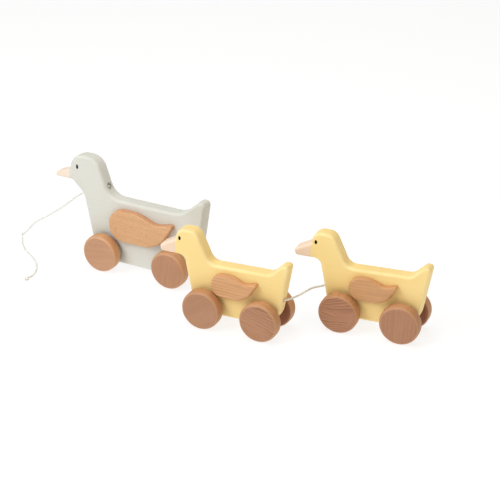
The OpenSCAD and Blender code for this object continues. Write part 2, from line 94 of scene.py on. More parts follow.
# Fineness of the meshes
ARC_STEP = math.radians(4)
EDGE_STEPS = 8
WHEEL_SIDES = 96
HOLE_SIDES = 48
CORD_SIDES = 18
CORD_STEP = 0.4
ROUTE_STEPS = 24
KNOT_SIDES = 14
KNOT_STEPS = 120
EYE_DOME_DEGREES = (0, 15, 30, 45, 60, 75, 86)
SHARP_ANGLE = math.radians(35)
CUT_REACH = 1e-5

# Which points of a wheel belong to its tread and its inner face, and how much painted shade that face gets
TREAD_FROM_R = WHEEL_R - 0.2 * WHEEL_EDGE
INNER_TO_Z = 0.3 * WHEEL_EDGE
INNER_FACE_SHADE = 0.95
# From which share of its rounding a wing's face counts as flat
FLAT_SHARE = 0.99
# Steps from piece to piece through the wood's grain
GRAIN_SHIFT = (0.37, 0.71, 0.53)

# Floor, sky and light
FLOOR_HALF_M = 20
FLOOR_GREY = 0.22
FLOOR_GLOW = 0.82
FLOOR_ROUGHNESS = 0.9
HORIZON_GLOW = 0.86
SKY_GLOW = 0.06
SKY_FADE = (0.16, 0.24)
WHITE = (1, 1, 1, 1)
WARM_LIGHT = (1, 0.8, 0.52)


def duck_corners(keel, breast, keel_r, face, head_h, head_w, throat, chin, beak_l, beak, beak_r, brow,
                 crown, nape, nape_r, back_h, rump, tail_l, tail_h, tail_w, tail_r, stern, stern_r):
    """Outline corners as (ahead of mid-wheelbase, above the axles, rounding)."""
    return [
        (breast, -keel, keel_r),
        (face - throat[0], head_h - throat[1], throat[2]),
        (face - chin[0], head_h - chin[1], chin[2]),
        (face + beak_l - beak[0], head_h - chin[1], beak_r),
        (face + beak_l, head_h - beak[1], beak_r),
        (face - brow[0], head_h - brow[1], brow[2]),
        (face - crown[0], head_h, crown[1]),
        (face - head_w, head_h, crown[1]),
        (nape, back_h, nape_r),
        (-rump[0], back_h + rump[1], rump[2]),
        (-stern - tail_l + tail_w, tail_h, tail_r),
        (-stern - tail_l, tail_h, tail_r),
        (-stern, -keel, stern_r),
    ]


MOTHER = {
    "corners": duck_corners(
        keel=12.8, breast=53.4, keel_r=14, face=82.4, head_h=96.2, head_w=32.8, throat=(15.8, 41.2, 14),
        chin=(2.4, 28, 3), beak_l=18.6, beak=(1.8, 24), beak_r=3.4, brow=(0, 16.8, 2.5), crown=(2.4, 17),
        nape=35.6, nape_r=18, back_h=56.6, rump=(48, -0.2, 21), tail_l=13.4, tail_h=73.2, tail_w=8,
        tail_r=5, stern=62.4, stern_r=26),
    "face": 82.4,
    "eye": (72.6, 83.8),
    "eye_size": (2.7, 5),
    "wheelbase": 80.6,
    "wing": {"front": 32.8, "rise": 15.1234, "length": 76.6, "height": 34},
    "paint": "mother_paint",
    "beak_paint": "pale_beak_paint_and_highlight",
}
DUCKLING = {
    "corners": duck_corners(
        keel=9.2, breast=43.2, keel_r=12, face=62.6, head_h=73.4, head_w=21.2, throat=(8.8, 27, 8),
        chin=(2, 26.8, 3), beak_l=17, beak=(1, 20.4), beak_r=3.4, brow=(0, 11.4, 2.5), crown=(1, 11),
        nape=27.2, nape_r=11, back_h=42.6, rump=(35.2, 1.6, 12), tail_l=12, tail_h=55.6, tail_w=7,
        tail_r=3.6, stern=42, stern_r=24),
    "face": 62.6,
    "eye": (57.7, 63.8),
    "eye_size": (2.6, 4.2),
    "wheelbase": 59.8,
    "wing": {"front": 22.6, "rise": 14.0235, "length": 48, "height": 23},
    "paint": "duckling_paint",
    "beak_paint": "beak_paint",
}
DUCKS = {"mother": MOTHER, "duckling_1": DUCKLING, "duckling_2": DUCKLING}
# The mother's throat and the back of her neck, where the pull cord's hole opens, as (ahead, above the axles)
THROAT_END = (66.6, 55)
NECK_END = (39.2768, 67)
NECK_L = math.dist(THROAT_END, NECK_END)
# Wing outline corners in shares of its length and height, with the rounding in shares of its height
WING_SHAPE = (
    (1, 0, 0.5), (1, 1, 0.5), (0.58, 1, 0.6), (0.29, 0.76, 0.5), (0, 0.9, 0.07), (0.2, 0.2, 0.8),
    (0.42, 0, 0.6),
)
# The ducks' ends that hold a tow cord: name, way out along the duck, and the joint there
TOW_ENDS = {
    "mother": (("stern", 1, "tow_cord_1_swing"),),
    "duckling_1": (("breast", -1, "duckling_1_swing"), ("stern", 1, "tow_cord_2_swing")),
    "duckling_2": (("breast", -1, "duckling_2_swing"),),
}

# Cord routes in millimetres, from the floor under the mother's middle
LOW = 1.1
KNOT_LOW = 2.6
PULL_ROUTE = (
    (-66.6, 0, 74.5), (-71.2, 0, 72.4), (-77.1, 0.7, 68.6), (-83, 2.1, 64.2), (-88.9, 3.5, 59.4),
    (-94.8, 4.9, 54.5), (-100.7, 6.2, 49.7), (-106.6, 7.5, 45.1), (-112.5, 8.6, 40.7), (-118.4, 9.7, 36.4),
    (-124.3, 10.8, 32.2), (-130.2, 11.9, 28.1), (-136.1, 13, 24.1), (-142, 14.1, 20.2), (-147.9, 15.1, 15.8),
    (-152.3, 15.8, 11.5), (-155.7, 16.2, 7.6), (-158.3, 16, 4.6), (-160.3, 14.6, 2.6), (-161.5, 12.4, 1.6),
    (-161.3, 9.8, LOW), (-159.9, 7.4, LOW), (-156.7, 3.6, LOW), (-153.5, -0.6, LOW), (-149.7, -5.4, LOW),
    (-145.3, -10.4, LOW), (-140.5, -15.2, LOW), (-135.1, -19.6, LOW), (-129.1, -23.6, LOW),
    (-122.9, -27.2, LOW), (-117.1, -31, LOW), (-111.7, -35.2, LOW), (-106.7, -40, LOW), (-102.3, -45.2, LOW),
    (-98.5, -51, LOW), (-95.5, -57.2, LOW), (-93.5, -63.2, LOW), (-92.5, -68.2, 1.8),
    (-92.2, -72.6, KNOT_LOW), (-92.2, -79.6, KNOT_LOW),
)
END_KNOT_AT = (-92.2, -75.6, KNOT_LOW)
TOW_ROUTE_1 = (
    (70.5, -4.5, 37.2), (73.6, -10, 36.6), (75.8, -16.7, 36), (77.5, -23.8, 35.6), (79.1, -30.9, 35.6),
    (80.9, -37.9, 36), (83.2, -44.8, 36.5), (86.4, -51.5, 37.1),
)
TOW_ROUTE_2 = (
    (189.4, -48.6, 37.3), (191.6, -42.3, 36.9), (193.2, -35.8, 36.5), (194.3, -29.4, 36.2),
    (195.2, -22.6, 36.1), (196.8, -16.4, 36.2), (199.8, -11.6, 36.5), (203.6, -8, 36.9),
)

# Figure of each wheel's wood, with the turn of its grain in degrees and how dark it is on its outer side
WHEELS = {
    "mother": {"front_left": ("wheel_plain", 6, 0), "front_right": ("wheel_striped", 20, 0.25),
               "rear_left": ("wheel_striped", 84, 0.13), "rear_right": ("wheel_figured", 50, 0.25)},
    "duckling_1": {"front_left": ("wheel_plain", 35, 0.33), "front_right": ("wheel_figured", 80, 0.25),
                   "rear_left": ("wheel_figured", -14, 0.22), "rear_right": ("wheel_figured", 80, 0.25)},
    "duckling_2": {"front_left": ("wheel_bold", 8, 0.2), "front_right": ("wheel_striped", 60, 0.25),
                   "rear_left": ("wheel_striped", 88, 0.34), "rear_right": ("wheel_figured", 76, 0.25)},
}
# Figure of each duck's wings, with the tilt of the grain in degrees
WINGS = {"mother": ("wing_flecked", 4), "duckling_1": ("wing_lined", 2), "duckling_2": ("wing_soft", -3)}

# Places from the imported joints
joint_at = {joint["name"]: Vector(joint["pos_m"]) for joint in frame["joints"]}


def duck_frame(duck):
    """A duck's own frame: origin in the middle of its wheelbase at axle height, +X towards its tail."""
    front = joint_at[duck + "_front_roll"]
    rear = joint_at[duck + "_rear_roll"]
    along = (rear - front).normalized()
    own = Matrix((along, UP.cross(along), UP)).transposed().to_4x4()
    own.translation = (front + rear) / 2
    return own


own_frame = {duck: duck_frame(duck) for duck in DUCKS}
mother_at = own_frame["mother"].translation
train_frame = Matrix.Translation((mother_at.x, mother_at.y, 0))

# Camera
camera_data = bpy.data.cameras.new("camera")
camera_data.sensor_width = SENSOR_WIDTH
camera_data.lens = CAMERA_LENS
camera_data.clip_end = CLIP_END_M
camera = bpy.data.objects.new("camera", camera_data)
scene.collection.objects.link(camera)
camera.location = train_frame @ (CAMERA_AT * MM)
camera.rotation_euler = (CAMERA_TARGET - CAMERA_AT).to_track_quat("-Z", "Y").to_euler()
scene.camera = camera

# Materials
materials = {}


def srgb(red, green, blue):
    """A shader colour from display values of 0 to 255."""
    linear = [c / 12.92 if c <= 0.04045 else ((c + 0.055) / 1.055) ** 2.4
              for c in (red / 255, green / 255, blue / 255)]
    return (*linear, 1)


class Shader:
    """A node material with short calls for its nodes, on a piece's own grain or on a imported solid."""

    def __init__(self, name, on_solid=False):
        self.material = bpy.data.materials.new(name)
        materials[name] = self.material
        self.material.use_nodes = True
        self.tree = self.material.node_tree
        self.surface = self.tree.nodes["Principled BSDF"]
        if on_solid:
            self.coords = self.add("TexCoord").outputs["Object"]
        else:
            self.coords = self.add("Attribute", attribute_name="grain").outputs["Vector"]

    def feed(self, socket, value):
        if isinstance(value, bpy.types.NodeSocket):
            self.tree.links.new(value, socket)
        else:
            socket.default_value = value

    def add(self, kind, inputs=(), **settings):
        node = self.tree.nodes.new("ShaderNode" + kind)
        for key, value in settings.items():
            setattr(node, key, value)
        for key, value in dict(inputs).items():
            self.feed(node.inputs[key], value)
        return node

    def noise(self, scale, detail=2, roughness=0.5, vector=None):
        """Noise with a scale for each direction: along the grain, across it and into the wood, per metre."""
        stretched = self.add("Mapping", {"Vector": vector or self.coords, "Scale": scale}).outputs[0]
        inputs = {"Vector": stretched, "Scale": 1, "Detail": detail, "Roughness": roughness}
        return self.add("TexNoise", inputs).outputs[0]

    def ramp(self, value, start, end, low=0, high=1):
        """Goes smoothly from low to high while the value goes from start to end."""
        inputs = {0: value, 1: start, 2: end, 3: low, 4: high}
        return self.add("MapRange", inputs, interpolation_type="SMOOTHSTEP").outputs[0]

    def math(self, operation, a, b):
        return self.add("Math", {0: a, 1: b}, operation=operation).outputs[0]

    def times(self, a, b):
        return self.math("MULTIPLY", a, b)

    def mix(self, factor, a, b, blend="MIX"):
        """Mixes two colours, for which the node has sockets 6, 7 and 2."""
        return self.add("Mix", {0: factor, 6: a, 7: b}, data_type="RGBA", blend_type=blend).outputs[2]

    def attribute(self, name):
        return self.add("Attribute", attribute_name=name).outputs["Fac"]

    def finish(self, colour, roughness, height, bump, depth, specular):
        normal = self.add("Bump", {"Height": height, "Strength": bump, "Distance": depth}).outputs[0]
        self.feed(self.surface.inputs["Base Color"], colour)
        self.feed(self.surface.inputs["Roughness"], roughness)
        self.feed(self.surface.inputs["Normal"], normal)
        self.feed(self.surface.inputs["Specular IOR Level"], specular)


def paint(name, base, shade, edge, on_solid=False):
    """Matt paint on sanded board, a little uneven, with thinner paint and painted light along the rounded
    edges.
    """
    shader = Shader(name, on_solid)
    cloud = shader.ramp(shader.noise((26, 26, 26), detail=3), 0.3, 0.7)
    grain = shader.noise((14, 420, 420), detail=4, roughness=0.6)
    pores = shader.ramp(shader.noise((90, 1500, 1500)), 0.66, 0.74)
    patches = shader.ramp(shader.noise((60, 60, 60), detail=3), 0.3, 0.6, low=0.3, high=0.8)
    colour = shader.mix(shader.times(cloud, 0.3), base, shade)
    colour = shader.mix(shader.times(shader.ramp(grain, 0.5, 0.75), 0.3), colour, shade)
    # Thinner paint and painted light along the rounded edges, in patches: a painted highlight where the edge
    # colour is lighter, painted shade where it is darker
    colour = shader.mix(shader.times(shader.attribute("edge"), patches), colour, edge)
    roughness = shader.ramp(grain, 0.3, 0.7, low=0.5, high=0.62)
    height = shader.math("SUBTRACT", grain, pores)
    shader.finish(colour, roughness, height, bump=0.12, depth=0.0001, specular=0.35)


def wood(name, pale, mid, dark, lines, streaks, flecks, line_gap=3.4, sway=2.2, bare=0.5, rim=None,
         on_wheel=False, on_solid=False):
    """Bare or stained beech: growth lines that sway, fine streaks and short dark flecks, along X."""
    shader = Shader(name, on_solid)
    sway_noise = shader.math("SUBTRACT", shader.noise((22, 70, 40)), 0.5)
    offset = shader.add("CombineXYZ", {"Y": shader.times(sway_noise, sway * MM * 4)}).outputs[0]
    swayed = shader.add("VectorMath", {0: shader.coords, 1: offset}, operation="ADD").outputs[0]
    # Blender's wave texture repeats every pi / 10 at a scale of 1
    waves = {"Vector": swayed, "Scale": math.pi / 10 / (line_gap * MM), "Distortion": 1.6, "Detail": 2,
             "Detail Scale": 0.6}
    wave = shader.add("TexWave", waves, wave_type="BANDS", bands_direction="Y", wave_profile="SAW").outputs[1]
    lined = shader.ramp(shader.noise((12, 36, 36)), bare - 0.12, bare + 0.12)
    line = shader.times(shader.ramp(wave, 0.35, 1), lined)
    streak = shader.ramp(shader.noise((16, 520, 260), detail=4, roughness=0.62, vector=swayed), 0.38, 0.68)
    fleck = shader.ramp(shader.noise((330, 1900, 900), detail=1), 0.63, 0.7)
    cloud = shader.ramp(shader.noise((24, 40, 40)), 0.3, 0.7)
    colour = shader.mix(shader.times(cloud, 0.35), pale, mid)
    colour = shader.mix(shader.times(streak, streaks), colour, mid)
    colour = shader.mix(shader.times(line, lines), colour, dark)
    colour = shader.mix(shader.times(fleck, flecks), colour, dark)
    # A rim colour on the rounded edges: a lighter painted highlight on the wheels, a darker colour on the
    # wings' sides
    if rim:
        colour = shader.mix(shader.ramp(shader.attribute("edge"), 0.7, 1, high=0.55), colour, rim)
    if on_wheel:
        # Warmer wood on the tread, made lighter as a painted highlight
        colour = shader.mix(shader.times(shader.attribute("tread"), 0.5), colour, TREAD_WOOD_AND_HIGHLIGHT)
        # Darker wood on some wheels, and painted shade on every wheel's inner face
        colour = shader.mix(shader.attribute("tone"), colour, DARK_WOOD_AND_SHADE, blend="MULTIPLY")
    roughness = shader.ramp(streak, 0, 1, low=0.5, high=0.6)
    height = shader.math("ADD", shader.math("ADD", streak, line), fleck)
    shader.finish(colour, roughness, height, bump=0.1, depth=-0.0001, specular=0.4)


def cotton(name, base, dark_fibre_and_groove_shade):
    """Twisted cotton cord: painted shade between its strands, with fine fibres."""
    shader = Shader(name)
    fibre = shader.noise((2600, 2600, 2600), detail=3, roughness=0.6)
    cloud = shader.ramp(shader.noise((120, 120, 120)), 0.3, 0.7)
    colour = shader.mix(shader.times(cloud, 0.2), base, dark_fibre_and_groove_shade)
    colour = shader.mix(shader.ramp(fibre, 0.5, 0.8, high=0.35), colour, dark_fibre_and_groove_shade)
    # Painted shade in the grooves between the strands
    colour = shader.mix(shader.times(shader.attribute("groove"), 0.6), colour, dark_fibre_and_groove_shade)
    roughness = shader.ramp(fibre, 0.3, 0.7, low=0.8, high=0.95)
    shader.finish(colour, roughness, fibre, bump=0.4, depth=0.0002, specular=0.2)


def ink(name, base, thin):
    """Printed black, a little thinner in specks."""
    shader = Shader(name)
    speck = shader.ramp(shader.noise((2400, 2400, 2400)), 0.55, 0.7)
    colour = shader.mix(shader.times(speck, 0.5), base, thin)
    roughness = shader.ramp(speck, 0, 1, low=0.5, high=0.65)
    shader.finish(colour, roughness, speck, bump=0.1, depth=0.00005, specular=0.15)


# The tread's warmer wood, lightened as a painted highlight
TREAD_WOOD_AND_HIGHLIGHT = srgb(220, 165, 108)
# Darkens the wheels' darker wood and paints shade on their inner faces
DARK_WOOD_AND_SHADE = srgb(180, 150, 132)
MOTHER_PAINT = (srgb(221, 221, 212), srgb(209, 208, 195), srgb(219, 219, 210))
DUCKLING_PAINT = (srgb(254, 226, 154), srgb(248, 212, 131), srgb(255, 233, 172))

paint("mother_paint", *MOTHER_PAINT)
paint("duckling_paint", *DUCKLING_PAINT)
paint("beak_paint", srgb(244, 219, 194), srgb(240, 205, 176), srgb(248, 224, 200))
# The mother's paler beak paint, its faces painted paler than its peachier edges as a painted highlight
paint("pale_beak_paint_and_highlight", srgb(243, 227, 210), srgb(239, 216, 194), srgb(242, 215, 191))
wood("wing_flecked", srgb(221, 174, 128), srgb(208, 155, 109), srgb(150, 98, 62),
     lines=0.08, streaks=0.4, flecks=0.55, line_gap=7, rim=srgb(188, 130, 98))
wood("wing_lined", srgb(225, 175, 126), srgb(200, 145, 98), srgb(138, 88, 55),
     lines=0.42, streaks=0.6, flecks=0.2, line_gap=3.2, sway=1, rim=srgb(198, 145, 102))
wood("wing_soft", srgb(211, 161, 112), srgb(189, 138, 91), srgb(138, 90, 56),
     lines=0.14, streaks=0.5, flecks=0.25, line_gap=3.2, sway=1, rim=srgb(200, 148, 102))
# The wheels' lighter rim colours are painted highlights on their rounded edges
wood("wheel_plain", srgb(201, 154, 120), srgb(184, 135, 101), srgb(130, 84, 56),
     lines=0.05, streaks=0.35, flecks=0.25, line_gap=6, rim=srgb(226, 182, 142), on_wheel=True)
wood("wheel_striped", srgb(198, 149, 115), srgb(178, 128, 94), srgb(126, 80, 54),
     lines=0.08, streaks=0.5, flecks=0.25, sway=1, rim=srgb(224, 179, 139), on_wheel=True)
wood("wheel_figured", srgb(198, 149, 113), srgb(176, 125, 91), srgb(116, 72, 47),
     lines=0.38, streaks=0.5, flecks=0.3, line_gap=3, sway=4, rim=srgb(222, 176, 136), on_wheel=True)
wood("wheel_bold", srgb(190, 138, 103), srgb(168, 117, 85), srgb(112, 69, 45),
     lines=0.5, streaks=0.5, flecks=0.2, line_gap=2.8, sway=5, bare=0.36, rim=srgb(206, 158, 122),
     on_wheel=True)
wood("dowel_wood", srgb(224, 192, 146), srgb(206, 168, 120), srgb(150, 108, 70),
     lines=0.15, streaks=0.5, flecks=0.35, on_solid=True)
paint("mother_plug_paint", *MOTHER_PAINT, on_solid=True)
paint("duckling_plug_paint", *DUCKLING_PAINT, on_solid=True)
ink("eye_ink", srgb(12, 10, 9), srgb(34, 29, 26))
cotton("cord", srgb(248, 248, 242), srgb(208, 206, 196))

# Pieces
pieces_made = 0


def next_shift():
    """A different part of the wood's grain for each piece."""
    global pieces_made
    pieces_made += 1
    return Vector([step * pieces_made % 1 for step in GRAIN_SHIFT])


def add_piece(name, mesh_in_mm, at, body, material, nodes, grain=Matrix()):
    """A piece from a mesh in the frame at, with the wood's grain along X of the frame grain."""
    to_grain = (grain @ Matrix.Translation(next_shift())).inverted()
    grain_layer = mesh_in_mm.verts.layers.float_vector.new("grain")
    for vert in mesh_in_mm.verts:
        vert[grain_layer] = to_grain @ (vert.co * MM)
    mesh_in_mm.transform(at @ Matrix.Scale(MM, 4))
    mesh = bpy.data.meshes.new(name)
    mesh_in_mm.to_mesh(mesh)
    mesh_in_mm.free()
    mesh.shade_smooth()
    mesh.set_sharp_from_angle(angle=SHARP_ANGLE)
    mesh.materials.append(materials[material])
    piece = bpy.data.objects.new(name, mesh)
    scene.collection.objects.link(piece)
    weighted = piece.modifiers.new("weighted_normals", "WEIGHTED_NORMAL")
    weighted.keep_sharp = True
    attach(piece, body)
    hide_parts(*nodes)
    return piece


def float_layer(bm, name):
    """A mesh's layer of numbers with this name, new if there is none."""
    return bm.verts.layers.float.get(name) or bm.verts.layers.float.new(name)


def smooth_route(points, step):
    """Points spaced evenly along a smooth curve through these ones, and the curve's length."""
    points = [Vector(p) for p in points]
    ends = [2 * points[0] - points[1], *points, 2 * points[-1] - points[-2]]
    fine = []
    for a, b, c, d in zip(ends, ends[1:], ends[2:], ends[3:]):
        for k in range(ROUTE_STEPS):
            t = k / ROUTE_STEPS
            fine.append(0.5 * (2 * b + (c - a) * t + (2 * a - 5 * b + 4 * c - d) * t ** 2
                               + (3 * b - a - 3 * c + d) * t ** 3))
    fine.append(points[-1])
    lengths = [0]
    for a, b in zip(fine, fine[1:]):
        lengths.append(lengths[-1] + (b - a).length)
    count = max(2, round(lengths[-1] / step))
    route = []
    i = 0
    for k in range(count + 1):
        s = lengths[-1] * k / count
        while i < len(lengths) - 2 and lengths[i + 1] < s:
            i += 1
        share = (s - lengths[i]) / (lengths[i + 1] - lengths[i])
        route.append(fine[i].lerp(fine[i + 1], share))
    return route, lengths[-1]


def cord_into(bm, route, radius, sides=CORD_SIDES):
    """A cord of twisted strands along a route, closed at both ends."""
    groove_layer = float_layer(bm, "groove")
    across = (route[1] - route[0]).orthogonal().normalized()
    rings = []
    along = 0
    for i, point in enumerate(route):
        tangent = (route[min(i + 1, len(route) - 1)] - route[max(i - 1, 0)]).normalized()
        across = (across - across.dot(tangent) * tangent).normalized()
        over = tangent.cross(across)
        along += (point - route[i - 1]).length if i else 0
        ring = []
        for k in range(sides):
            angle = math.tau * k / sides
            groove = 1 - abs(math.cos(STRANDS / 2 * (angle - math.tau * along / STRAND_LAY)))
            reach = radius * (1 - GROOVE_DEPTH * groove)
            vert = bm.verts.new(point + reach * (math.cos(angle) * across + math.sin(angle) * over))
            vert[groove_layer] = groove
            ring.append(vert)
        rings.append(ring)
    for ring, following in zip(rings, rings[1:]):
        for k in range(sides):
            bm.faces.new((ring[k], ring[(k + 1) % sides], following[(k + 1) % sides], following[k]))
    bm.faces.new(reversed(rings[0]))
    bm.faces.new(rings[-1])


def add_cord(name, body, node, route):
    bm = bmesh.new()
    route, length = smooth_route(route, CORD_STEP)
    cord_into(bm, route, CORD_D / 2)
    cord = add_piece(name, bm, train_frame, body, "cord", [node])


def knot_into(bm, frame_at, size):
    """An overhand knot of this outer size, drawn tight, round the Z axis of a frame."""
    loop = (size / 2 - KNOT_CORD_R) / 3
    route = []
    for k in range(KNOT_STEPS + 1):
        t = KNOT_OPENING + (math.tau - 2 * KNOT_OPENING) * k / KNOT_STEPS
        out = loop * (2 + math.cos(3 * t))
        point = Vector((out * math.cos(2 * t), out * math.sin(2 * t), loop * math.sin(3 * t)))
        route.append(frame_at @ point)
    cord_into(bm, route, KNOT_CORD_R, KNOT_SIDES)


def to_train(joint):
    """A joint's place in millimetres of the cords' routes."""
    return (train_frame.inverted() @ joint_at[joint]) / MM


# The cords
FACE_UP = Matrix.Rotation(RIGHT_ANGLE, 4, "X")
end_knot_mesh = bmesh.new()
knot_into(end_knot_mesh, Matrix.Translation(END_KNOT_AT) @ FACE_UP, END_KNOT_D)
end_knot = add_piece("pull_cord_end_overhand", end_knot_mesh, train_frame, "mother", "cord",
                     ["pull_cord_end_knot"])
add_cord("pull_string", "mother", "pull_cord", PULL_ROUTE)
add_cord("tow_string_1", "tow_cord_1", "tow_cord_1",
         (to_train("tow_cord_1_swing"), *TOW_ROUTE_1, to_train("duckling_1_swing")))
add_cord("tow_string_2", "tow_cord_2", "tow_cord_2",
         (to_train("tow_cord_2_swing"), *TOW_ROUTE_2, to_train("duckling_2_swing")))


# Shapes of the wooden pieces
def heading(a, b):
    return math.atan2(b[1] - a[1], b[0] - a[0])


def rounded(corners):
    """Points of a rounded outline as (ahead, up, heading, rounding), negative where it turns inwards."""
    n = len(corners)
    turns = []
    for i in range(n):
        turn = heading(corners[i], corners[(i + 1) % n]) - heading(corners[i - 1], corners[i])
        turns.append((turn + math.pi) % math.tau - math.pi)
    sides = [math.dist(corners[i][:2], corners[(i + 1) % n][:2]) for i in range(n)]
    setbacks = [corner[2] * math.tan(abs(turn) / 2) for corner, turn in zip(corners, turns)]
    points = []
    for i, (x, y, radius) in enumerate(corners):
        room = min(1, sides[i - 1] / (setbacks[i - 1] + setbacks[i]),
                   sides[i] / (setbacks[i] + setbacks[(i + 1) % n]))
        r = radius * room * ARC_SHARE
        way = math.copysign(1, turns[i])
        h = heading(corners[i - 1], corners[i])
        back = r * math.tan(abs(turns[i]) / 2)
        middle_x = x - back * math.cos(h) - way * r * math.sin(h)
        middle_y = y - back * math.sin(h) + way * r * math.cos(h)
        steps = max(2, math.ceil(abs(turns[i]) / ARC_STEP))
        for k in range(steps + 1):
            a = h + turns[i] * k / steps
            points.append((middle_x + way * r * math.sin(a), middle_y - way * r * math.cos(a), a, way * r))
    return points


def quarter(r):
    """A quarter-round edge as (inset, depth, share of the painted rim highlight)."""
    angles = [math.pi / 2 * k / EDGE_STEPS for k in range(EDGE_STEPS + 1)]
    return [(r * (1 - math.cos(a)), r * math.sin(a), math.sin(2 * a)) for a in angles]


def board_sections():
    """A board from face to face as (inset, y), rounded at both."""
    upper = [(inset, BOARD_T / 2 - BOARD_EDGE + y) for inset, y, rim_highlight in quarter(BOARD_EDGE)]
    return [(inset, -y) for inset, y in reversed(upper)] + upper


def wing_sections(way):
    """A wing from the board outwards as (inset, y), rounded at its outer face."""
    outer = [(inset, WING_T - WING_EDGE + y) for inset, y, rim_highlight in quarter(WING_EDGE)]
    return [(inset, way * (BOARD_T / 2 + y)) for inset, y in ((0, 0), *outer)]


def plate(outline, sections):
    """A plate of this outline, with the nose towards -X, through sections of (inset, y)."""
    bm = bmesh.new()
    largest = max(inset for inset, y in sections)
    rings = []
    for inset, y in sections:
        ring = []
        for ahead, up, h, r in outline:
            here = inset if r < 0 else inset * min(1, EDGE_SHARE * r / largest)
            ring.append(bm.verts.new((-ahead + here * math.sin(h), y, up + here * math.cos(h))))
        rings.append(ring)
    n = len(outline)
    for ring, following in zip(rings, rings[1:]):
        for k in range(n):
            bm.faces.new((ring[(k + 1) % n], ring[k], following[k], following[(k + 1) % n]))
    bm.faces.new(rings[0])
    bm.faces.new(reversed(rings[-1]))
    bmesh.ops.recalc_face_normals(bm, faces=bm.faces)
    return bm


def lathe_into(bm, profile, sides, at=Matrix()):
    """A closed solid of revolution round the Z axis of a frame, through rings of (radius, z, share of the
    painted rim highlight).
    """
    rim_highlight_layer = float_layer(bm, "edge")
    rings = []
    for radius, z, rim_highlight in profile:
        ring = []
        for k in range(sides):
            a = math.tau * k / sides
            vert = bm.verts.new(at @ Vector((radius * math.cos(a), radius * math.sin(a), z)))
            vert[rim_highlight_layer] = rim_highlight
            ring.append(vert)
        rings.append(ring)
    faces = [bm.faces.new(rings[0]), bm.faces.new(reversed(rings[-1]))]
    for ring, following in zip(rings, rings[1:]):
        for k in range(sides):
            after = (k + 1) % sides
            faces.append(bm.faces.new((ring[after], ring[k], following[k], following[after])))
    bmesh.ops.recalc_face_normals(bm, faces=faces)


def rod_into(bm, r, start, end, at):
    """A plain rod from start to end along the Z axis of a frame."""
    lathe_into(bm, ((r, start, 0), (r, end, 0)), HOLE_SIDES, at)


def cross_rod_into(bm, ahead, up, r, half):
    """A rod along Y through the board's middle plane."""
    rod_into(bm, r, -half, half, Matrix.Translation((-ahead, 0, up)) @ FACE_UP)


def drilled(bm, cutter):
    """The mesh without the space that the cutter's closed solids take."""
    objects = []
    for name, part in (("solid", bm), ("cutter", cutter)):
        mesh = bpy.data.meshes.new(name)
        part.to_mesh(mesh)
        part.free()
        objects.append(bpy.data.objects.new(name, mesh))
        scene.collection.objects.link(objects[-1])
    drill = objects[0].modifiers.new("drill", "BOOLEAN")
    drill.operation = "DIFFERENCE"
    drill.solver = "EXACT"
    drill.object = objects[1]
    bpy.context.view_layer.update()
    result = bmesh.new()
    result.from_mesh(objects[0].evaluated_get(bpy.context.evaluated_depsgraph_get()).to_mesh())
    for thing in objects:
        mesh = thing.data
        bpy.data.objects.remove(thing)
        bpy.data.meshes.remove(mesh)
    return result


def cut_at(bm, x, keep_ahead):
    """Keeps what lies ahead of, or behind, a plane across the duck and closes the cut."""
    geometry = bm.verts[:] + bm.edges[:] + bm.faces[:]
    cut = bmesh.ops.bisect_plane(bm, geom=geometry, dist=CUT_REACH, plane_co=(x, 0, 0), plane_no=(1, 0, 0),
                                 clear_outer=keep_ahead, clear_inner=not keep_ahead)
    edges = [e for e in cut["geom_cut"] if isinstance(e, bmesh.types.BMEdge)]
    bmesh.ops.holes_fill(bm, edges=edges)
    bmesh.ops.recalc_face_normals(bm, faces=bm.faces)


def thin_paint_and_highlight_on_board(bm):
    """Marks the rounded edges of a board, most at the middle of their rounding, for thinner paint and painted
    light there.
    """
    layer = float_layer(bm, "edge")
    for vert in bm.verts:
        share = (abs(vert.co.y) - BOARD_T / 2 + BOARD_EDGE) / BOARD_EDGE
        vert[layer] = math.sin(2 * math.asin(min(max(share, 0), 1)))


def mark_wing_sides(bm):
    """Marks the sides of a wing, fading over its rounded edge to nothing on its face."""
    layer = float_layer(bm, "edge")
    for vert in bm.verts:
        share = (abs(vert.co.y) - BOARD_T / 2 - WING_T + WING_EDGE) / WING_EDGE
        vert[layer] = 0 if share >= FLAT_SHARE else 1 if share <= 0 else math.cos(math.asin(share))


def end_frame(duck, joint, way):
    """A frame at a tow cord's end, in millimetres of its duck, whose Z axis points out of the duck."""
    place = (own_frame[duck].inverted() @ joint_at[joint]) / MM
    return Matrix.Translation(place) @ Matrix.Rotation(way * RIGHT_ANGLE, 4, "Y")


def neck_frame():
    """The frame of the pull cord's hole: origin at the neck's back edge, +Z towards the throat."""
    slope = math.atan2(THROAT_END[1] - NECK_END[1], NECK_END[0] - THROAT_END[0])
    at = Matrix.Translation((-NECK_END[0], 0, NECK_END[1]))
    return at @ Matrix.Rotation(RIGHT_ANGLE - slope, 4, "Y")


def on_wing(wing, x, z):
    """A place on a wing, given in shares of its length and height, as (ahead, up)."""
    return wing["front"] - wing["length"] * (1 - x), wing["rise"] + wing["height"] * z


